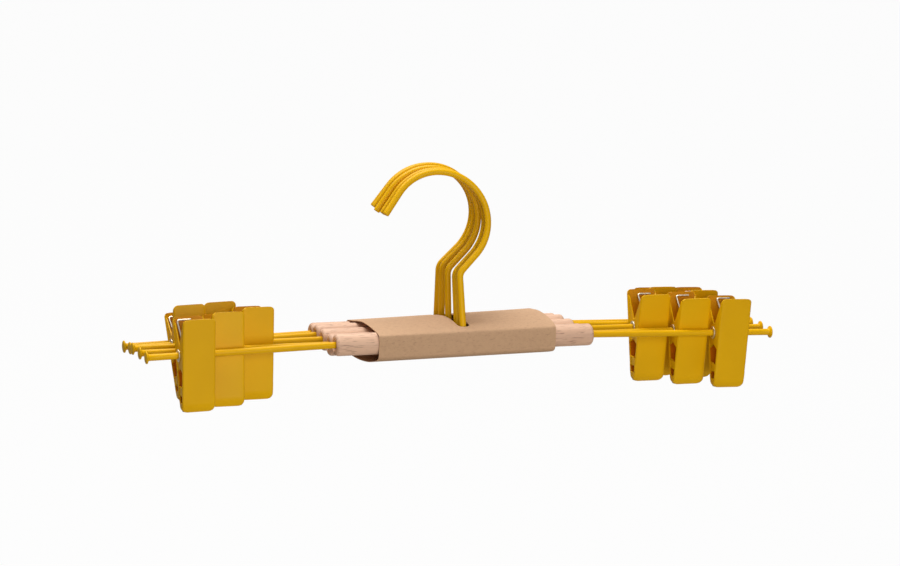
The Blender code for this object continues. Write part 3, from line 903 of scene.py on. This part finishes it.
class MESH_OT_hanger_rods(bpy.types.Operator):
    """Make the coated rods with their coned and domed heads"""

    bl_idname = "mesh.hanger_rods"
    bl_label = "Rods"

    def execute(self, context):
        r = sizes().rod_wire / 2
        head = sizes().head / 2
        dome_high, flatness, plain_from, count = 0.8, 0.8, 8.0, 90
        # An end: a flattened dome, a short rim, and a cone that runs out on the rod
        part = np.linspace(0, 1, 12)
        dome = head * np.sqrt(1 - (1 - part) ** 2) ** flatness
        cone = [head, head, head - 0.12, head - 0.7, r + 0.8, r + 0.4, r + 0.15, r]
        end_x = np.concatenate([dome_high * part, [0.95, 1.15, 1.3, 1.5, 1.7, 1.9, 2.1, 2.5]])
        end_r = np.concatenate([dome, cone])
        mid = np.linspace(-ROD_HALF + plain_from, ROD_HALF - plain_from, count)
        radius = np.concatenate([end_r, np.full(count, r), end_r[::-1]])
        for k, letter in enumerate(HANGERS):
            x = np.concatenate([-ROD_HALF + end_x, mid, ROD_HALF - end_x[::-1]]) + ROD_SHIFT[k]
            path = np.stack([x, np.full_like(x, k * PITCH), DOWEL_Z[k] - rod_drop(k, x)], axis=1)
            pts = tube(path, radius, sizes().round_steps + 4, (0.0, 1.0, 0.0))
            faces = grid_faces(pts.shape[0], pts.shape[1], wrap_cols=True)
            ob = make_piece("clip_rod_" + letter, to_model(pts), faces)
            dress(ob, yellow_powder_coat, HOLDER, ["rod_" + letter])
        return {"FINISHED"}


class MESH_OT_hanger_dowels(bpy.types.Operator):
    """Make the turned beech crosspieces, bored for the rod and drilled for the hook"""

    bl_idname = "mesh.hanger_dowels"
    bl_label = "Crosspieces"

    def execute(self, context):
        outer = sizes().dowel / 2
        bore = sizes().rod_wire / 2 + DRILL_PLAY
        rim_r, sink_depth, drill_depth, steps = 2.2, 2.0, 16.0, 56
        for k, letter in enumerate(HANGERS):
            half = DOWEL_HALF[k]
            # A 45 degree countersink, a narrow end ring and a rounded rim
            sunk = sink_depth * np.array([0.0, 0.5, 1.0])
            sink = np.stack([half - sunk[::-1], bore + sunk], axis=1)
            rim = arc(half - rim_r, outer - rim_r, rim_r, 0, 90, 12)
            side = np.concatenate([sink, rim])
            barrel = np.stack([np.linspace(half - 4, 4 - half, 40), np.full(40, outer)], axis=1)
            inside = np.stack([np.linspace(4 - half, half - 4, 12), np.full(12, bore)], axis=1)
            profile = np.concatenate([side, barrel, (side * np.array([-1.0, 1.0]))[::-1], inside])
            pts = lathe(profile, steps)
            faces = grid_faces(len(profile), steps, wrap_rows=True, wrap_cols=True)
            at = np.array([DOWEL_X[k], k * PITCH, DOWEL_Z[k]])
            ob = make_piece("crosspiece", to_model(pts.reshape(-1, 3) + at), faces)
            hole = np.zeros((2, 32, 3))
            hole[:, :, :2] = circle(32) * (sizes().hook_wire / 2 + DRILL_PLAY)
            hole[1, :, 2] = drill_depth
            stem = np.array([HOOK_SET[k][0], k * PITCH, DOWEL_Z[k]])
            stood = hole.reshape(-1, 3) @ hook_turn(k).T + stem
            tool = cutter("drill", to_model(stood).reshape(hole.shape))
            ob = cut_away(ob, tool, "beech_crosspiece_" + letter, WIRE_SHARP)
            dress(ob, sanded_beech, HOLDER, ["dowel_" + letter])
        return {"FINISHED"}


# Card sleeve


def sleeve_section(lift):
    """Closed loop of the card round the crosspieces as (y, z), from the front top edge round.

    The card lies on the front crosspiece and sags behind it; lift raises it to the right.
    """
    out = sizes().dowel / 2 + SLEEVE_PLAY + sizes().card / 2
    front = -out - 0.2
    last = 4 * PITCH
    return np.array([
        (front, 5.4 + 0.4 * lift),
        (front + 1.3, 6.8 + 0.4 * lift),
        (-1.2, out + 0.1 + 0.6 * lift),
        (0.9 * PITCH, out + 0.8 + lift),
        (1.9 * PITCH, out + 0.6 + lift),
        (2.4 * PITCH, out - 0.5 + lift),
        (3 * PITCH, 5.6 + 1.15 * lift),
        (3.5 * PITCH, 4.0 + lift),
        (last + 2.0, 2.7 + 0.7 * lift),
        (61.0, 1.6 + 0.6 * lift),
        (last + 6.8, -0.4 + 0.5 * lift),
        (last + out + 0.4, -3.6 + 0.3 * lift),
        (last + out + 0.5, -11.4 + 0.2 * lift),
        (last + 5.2, -17.4 + 0.2 * lift),
        (last - 6.0, -18.6 + 0.2 * lift),
        (2.3 * PITCH, -17.6 + 0.4 * lift),
        (PITCH, -15.0 + 0.5 * lift),
        (3.0, -12.2 + 0.5 * lift),
        (-4.2, -10.0 + 0.4 * lift),
        (front + 0.8, -8.2 + 0.4 * lift),
        (front, -6.6 + 0.5 * lift),
    ])


def sleeve_grid(count):
    """Card sheet as a grid: the left and right sections joined straight, tilted a little.

    The tilt counts in full for the top of the section and by half for the rest. Each section's
    corners are rounded by cutting them three times at 1/4 and 3/4 of every side.
    """
    right_lift, tilt_degrees = 2.4, 0.8
    low = sleeve_section(0.0)[None]
    high = sleeve_section(right_lift)[None]
    index = np.arange(low.shape[1])
    rise = np.where((index > 1) & (index < 12), 1.0, 0.55)
    x = np.linspace(-SLEEVE_HALF, SLEEVE_HALF, count)
    t = ((x + SLEEVE_HALF) / (2 * SLEEVE_HALF))[:, None, None]
    loop = low + (high - low) * t
    tilt = math.tan(math.radians(tilt_degrees))
    loop[:, :, 1] += rise[None] * (tilt * (x * 0.5 + SLEEVE_HALF * 0.12))[:, None]
    for _ in range(3):
        following = np.roll(loop, -1, axis=1)
        pair = np.stack([loop * 0.75 + following * 0.25, loop * 0.25 + following * 0.75], axis=2)
        loop = pair.reshape(count, -1, 2)
    along = np.broadcast_to((x + SLEEVE_X)[:, None, None], loop.shape[:2] + (1,))
    return np.concatenate([along, loop], axis=2)


class MESH_OT_card_sleeve(bpy.types.Operator):
    """Make the folded kraft card sleeve with its hook slot"""

    bl_idname = "mesh.card_sleeve"
    bl_label = "Card sleeve"

    def execute(self, context):
        pts = sleeve_grid(60)
        faces = grid_faces(pts.shape[0], pts.shape[1], wrap_cols=True)
        ob = make_piece("sheet", to_model(pts), faces)
        wall = ob.modifiers.new("wall", "SOLIDIFY")
        wall.thickness = sizes().card * 0.001
        wall.offset = 0.0
        wall.use_even_offset = True
        body = shown("kraft_sleeve", applied(ob), CARD_SHARP)
        # The slot is a long round-ended one: a circle's two halves drawn apart
        ring = SLOT_HALF * circle(48)
        ring[:, 1] += np.where(ring[:, 1] > 0, SLOT_BACK - SLOT_HALF, SLOT_FRONT + SLOT_HALF)
        rings = np.zeros((2, 48, 3))
        rings[:, :, :2] = ring + np.array([SLEEVE_X, 0.0])
        rings[:, :, 2] = np.array([-1.5, 30.0])[:, None]
        ob = cut_away(body, cutter("slot", to_model(rings)), "kraft_sleeve", CARD_SHARP)
        dress(ob, brown_kraft, HOLDER, ["sleeve"])
        return {"FINISHED"}


# Stage


def camera_place():
    """Camera of the fitted view: left of the middle and a little above, rolled about its axis."""
    az, el, roll = (math.radians(v) for v in VIEW_ANGLES)
    back = np.array([math.sin(az) * math.cos(el), -math.cos(az) * math.cos(el), math.sin(el)])
    right = np.array([math.cos(az), math.sin(az), 0.0])
    up = np.cross(back, right)
    place = to_model(VIEW_TARGET + back * VIEW_DISTANCE)
    turned_right = right * math.cos(roll) + up * math.sin(roll)
    turned_up = up * math.cos(roll) - right * math.sin(roll)
    m = np.eye(4)
    m[:3, 0] = turned_right
    m[:3, 1] = turned_up
    m[:3, 2] = back
    m[:3, 3] = place
    return Matrix(m.tolist())


def lamp(name, at, towards, size, power):
    """Soft square lamp aimed at a point, all in metres."""
    light = bpy.data.lights.new(name, "AREA")
    light.size = size
    light.energy = power
    ob = bpy.data.objects.new(name, light)
    bpy.context.scene.collection.objects.link(ob)
    ob.location = at
    aim = Vector(towards) - Vector(at)
    ob.rotation_euler = aim.to_track_quat("-Z", "Y").to_euler()


def pale_room(scene):
    """White behind the set, paler grey in the nickel and the clear pads, dim as a light."""
    world = bpy.data.worlds.new("pale_room")
    scene.world = world
    world.use_nodes = True
    tree = world.node_tree
    back = tree.nodes["Background"]
    path = tree.nodes.new("ShaderNodeLightPath")
    shine = node(tree, "ShaderNodeMath", {"operation": "MAXIMUM"},
                 _0=path.outputs["Is Glossy Ray"], _1=path.outputs["Is Transmission Ray"])
    grey = node(tree, "ShaderNodeMath", {"operation": "MULTIPLY", 1: 0.45}, _0=shine.outputs[0])
    seen = node(tree, "ShaderNodeMath", {"operation": "MAXIMUM"},
                _0=path.outputs["Is Camera Ray"], _1=grey.outputs[0])
    light = node(tree, "ShaderNodeMapRange", {"To Min": 0.08, "To Max": 1.0},
                 Value=seen.outputs[0])
    back.inputs["Color"].default_value = (1.0, 1.0, 1.0, 1.0)
    tree.links.new(light.outputs[0], back.inputs["Strength"])


def stand_camera(scene):
    """The scene's camera, at the fitted view and with its focal length."""
    cam_data = bpy.data.cameras.new("view")
    cam = bpy.data.objects.new("view", cam_data)
    scene.collection.objects.link(cam)
    cam_data.sensor_width = SENSOR
    cam_data.lens = FOCAL_PIXELS / PHOTO_WIDTH * SENSOR
    cam_data.clip_end = 20.0
    cam.matrix_world = camera_place()
    scene.camera = cam


def lay_floor():
    """Plain floor, in metres, that shows as white with a weak shadow and lights as a grey one."""
    reach, level = 6.0, -0.40
    corners = np.array([[-reach, -reach], [reach, -reach], [reach, reach], [-reach, reach]])
    pts = np.column_stack([corners, np.full(4, level)])
    floor = make_piece("floor", pts, np.array([[0, 1, 2, 3]]))
    mat, tree, shader, _ = new_finish("pale_floor")
    shader.inputs["Base Color"].default_value = hex_linear("#A29F99")
    shader.inputs["Roughness"].default_value = 0.9
    path = tree.nodes.new("ShaderNodeLightPath")
    glow = node(tree, "ShaderNodeEmission", {"Color": (1.0, 1.0, 1.0, 1.0), "Strength": 1.0})
    # Seen directly it is nearly all glow, with enough of the plain floor left for a shadow
    share = node(tree, "ShaderNodeMath", {"operation": "MULTIPLY", 1: 0.97},
                 _0=path.outputs["Is Camera Ray"])
    mix = node(tree, "ShaderNodeMixShader", None,
               _0=share.outputs[0], _1=shader.outputs[0], _2=glow.outputs[0])
    out = [n for n in tree.nodes if n.type == "OUTPUT_MATERIAL"][0]
    tree.links.new(mix.outputs[0], out.inputs[0])
    floor.data.materials.append(mat)


class MESH_OT_hanger_stage(bpy.types.Operator):
    """Make the plain floor, the soft lamps and the camera"""

    bl_idname = "mesh.hanger_stage"
    bl_label = "Stage"

    def execute(self, context):
        scene = context.scene
        scene.view_settings.view_transform = "Standard"
        pale_room(scene)
        aim = (0.0, 0.0, -0.08)
        lamp("key", (-0.2, 0.42, 1.3), aim, 1.3, 35.0)
        lamp("front", (-0.05, -1.9, 0.12), aim, 1.4, 26.0)
        stand_camera(scene)
        lay_floor()
        return {"FINISHED"}


class VIEW3D_PT_clip_hangers(bpy.types.Panel):
    """Lists the pieces and their sizes"""

    bl_idname = "VIEW3D_PT_clip_hangers"
    bl_label = "Clip hangers"
    bl_space_type = "VIEW_3D"
    bl_region_type = "UI"
    bl_category = "Hangers"

    def draw(self, context):
        layout = self.layout
        for piece in PIECES:
            layout.operator(piece.bl_idname)
        for group in (context.scene.hanger_sizes, context.scene.hanger_colours):
            for key in group.__annotations__:
                layout.prop(group, key)


PIECES = (
    MESH_OT_hanger_hooks,
    MESH_OT_hanger_rods,
    MESH_OT_hanger_dowels,
    MESH_OT_clip_jaws,
    MESH_OT_clip_grips,
    MESH_OT_clip_rivets,
    MESH_OT_clip_springs,
    MESH_OT_card_sleeve,
    MESH_OT_hanger_stage,
)
CLASSES = (HangerSizes, HangerColours) + PIECES + (VIEW3D_PT_clip_hangers,)


def register():
    for cls in CLASSES:
        bpy.utils.register_class(cls)
    bpy.types.Scene.hanger_sizes = PointerProperty(type=HangerSizes)
    bpy.types.Scene.hanger_colours = PointerProperty(type=HangerColours)


def unregister():
    del bpy.types.Scene.hanger_colours
    del bpy.types.Scene.hanger_sizes
    for cls in reversed(CLASSES):
        bpy.utils.unregister_class(cls)


def main():
    register()
    bpy.ops.mesh.hanger_hooks()
    bpy.ops.mesh.hanger_rods()
    bpy.ops.mesh.hanger_dowels()
    bpy.ops.mesh.clip_jaws()
    bpy.ops.mesh.clip_grips()
    bpy.ops.mesh.clip_rivets()
    bpy.ops.mesh.clip_springs()
    bpy.ops.mesh.card_sleeve()
    bpy.ops.mesh.hanger_stage()


if __name__ == "__main__":
    main()
